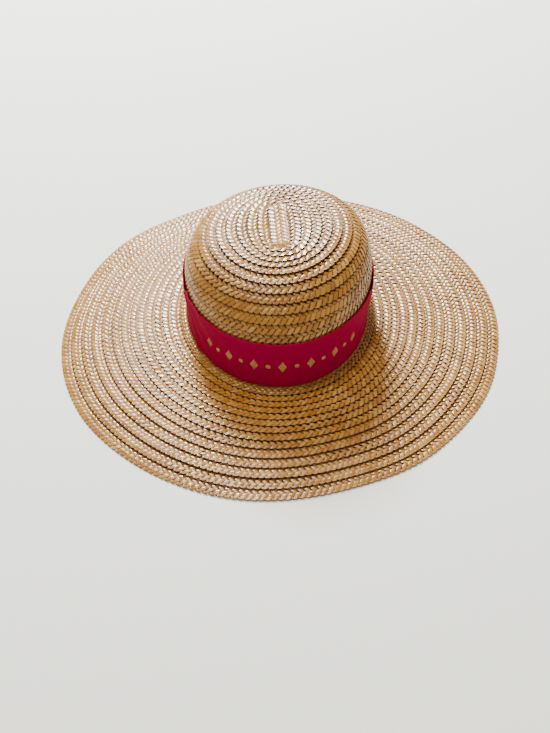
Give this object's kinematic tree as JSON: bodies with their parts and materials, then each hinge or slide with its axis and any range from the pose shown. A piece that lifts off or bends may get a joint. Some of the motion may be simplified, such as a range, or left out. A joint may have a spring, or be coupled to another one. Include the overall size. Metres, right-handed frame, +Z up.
{
  "type": "straw hat",
  "caption": "Wide-brimmed sun hat of sewn straw plait, with a low rounded oval crown and a broad plain cloth band.",
  "frame": {"origin": "on the surface that the hat rests on, under the middle of the rim", "axes": "+Z up, -Y to the front of the hat and +X to its right as seen from the front; the long way of the oval is along Y"},
  "size_m": [0.3908, 0.438, 0.1145],
  "materials": {
    "straw": "natural wheat straw plait, dry with a satin gloss",
    "band_cloth": "smooth satin-faced cloth, crimson pink"
  },
  "bodies": {
    "root": {"crown": "straw", "brim": "straw", "hat_band": "band_cloth"}
  },
  "joints": []
}
